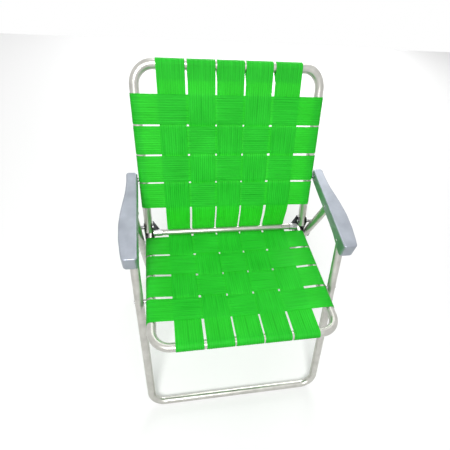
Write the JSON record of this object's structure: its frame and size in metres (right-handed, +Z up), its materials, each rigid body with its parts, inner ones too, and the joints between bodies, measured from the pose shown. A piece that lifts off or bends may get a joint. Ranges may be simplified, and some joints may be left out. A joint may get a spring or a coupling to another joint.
{
  "type": "folding webbed lawn chair",
  "caption": "Low-backed folding lawn chair: bent round tube frames, woven green webbing seat and back, moulded grey armrests.",
  "frame": {"origin": "on the floor, under the middle of the chair's bounding box, chair standing open", "axes": "+Z up; the sitter faces -Y; +X is at the right of a viewer who faces the chair; symmetric about X = 0"},
  "size_m": [0.6504, 0.6806, 0.8294],
  "materials": {
    "tube": "polished",
    "steel": "zinc plated",
    "grey_plastic": "satin moulded",
    "webbing": "ribbed, slightly translucent"
  },
  "bodies": {
    "back": {"arm_bolt_left": "steel", "arm_bolt_right": "steel", "arm_washer_left": "steel", "arm_washer_right": "steel", "back_cross_strip_1": "webbing", "back_cross_strip_2": "webbing", "back_cross_strip_3": "webbing", "back_cross_strip_4": "webbing", "back_frame": "tube", "back_long_strip_1": "webbing", "back_long_strip_2": "webbing", "back_long_strip_3": "webbing", "back_long_strip_4": "webbing", "back_long_strip_5": "webbing", "hinge_pin_left": "steel", "hinge_pin_right": "steel", "hinge_spacer_left": "steel", "hinge_spacer_right": "steel"},
    "armrests": {"arm_front_rivet_left": "steel", "arm_front_rivet_right": "steel", "arm_rear_rivet_left": "steel", "arm_rear_rivet_right": "steel", "armrest_left": "grey_plastic", "armrest_right": "grey_plastic"},
    "seat": {"bracket_rivet_left": "steel", "bracket_rivet_right": "steel", "crossbar": "tube", "hinge_bracket_left": "steel", "hinge_bracket_right": "steel", "seat_cross_strip_1": "webbing", "seat_cross_strip_2": "webbing", "seat_cross_strip_3": "webbing", "seat_cross_strip_4": "webbing", "seat_frame": "tube", "seat_long_strip_1": "webbing", "seat_long_strip_2": "webbing", "seat_long_strip_3": "webbing", "seat_long_strip_4": "webbing", "seat_long_strip_5": "webbing", "seat_pivot_bolt_left": "steel", "seat_pivot_bolt_right": "steel", "seat_spacer_left": "steel", "seat_spacer_right": "steel"},
    "hinge_links": {"hinge_link_left": "steel", "hinge_link_right": "steel", "link_rivet_left": "steel", "link_rivet_right": "steel"},
    "front_legs": {"front_leg_frame": "tube", "front_leg_rivet_left": "steel", "front_leg_rivet_right": "steel"},
    "rear_legs": {"rear_leg_frame": "tube", "rear_leg_rivet_left": "steel", "rear_leg_rivet_right": "steel"}
  },
  "joints": [
    {"name": "armrest_fold", "type": "hinge", "parent": "back", "child": "armrests", "pos_m": [0, 0.19106, 0.55019], "axis": [-1, 0, 0], "range_deg": [0, 119]},
    {"name": "seat_fold", "type": "hinge", "parent": "back", "child": "seat", "pos_m": [0, 0.12205, 0.41475], "axis": [-1, 0, 0], "range_deg": [0, 111]},
    {"name": "link_fold", "type": "hinge", "parent": "back", "child": "hinge_links", "pos_m": [0, 0.12205, 0.41475], "axis": [-1, 0, 0], "range_deg": [0, 182.7]},
    {"name": "front_leg_fold", "type": "hinge", "parent": "armrests", "child": "front_legs", "pos_m": [0, -0.06727, 0.53976], "axis": [1, 0, 0], "range_deg": [0, 101.8]},
    {"name": "rear_leg_fold", "type": "hinge", "parent": "armrests", "child": "rear_legs", "pos_m": [0, 0.06074, 0.54676], "axis": [1, 0, 0], "range_deg": [0, 65.8]}
  ],
  "couplings": [
    {"joint": "seat_fold", "follows": "armrest_fold", "ratio": 0.9287},
    {"joint": "link_fold", "follows": "armrest_fold", "ratio": 1.531},
    {"joint": "front_leg_fold", "follows": "armrest_fold", "ratio": 0.8511},
    {"joint": "rear_leg_fold", "follows": "armrest_fold", "ratio": 0.5491}
  ]
}
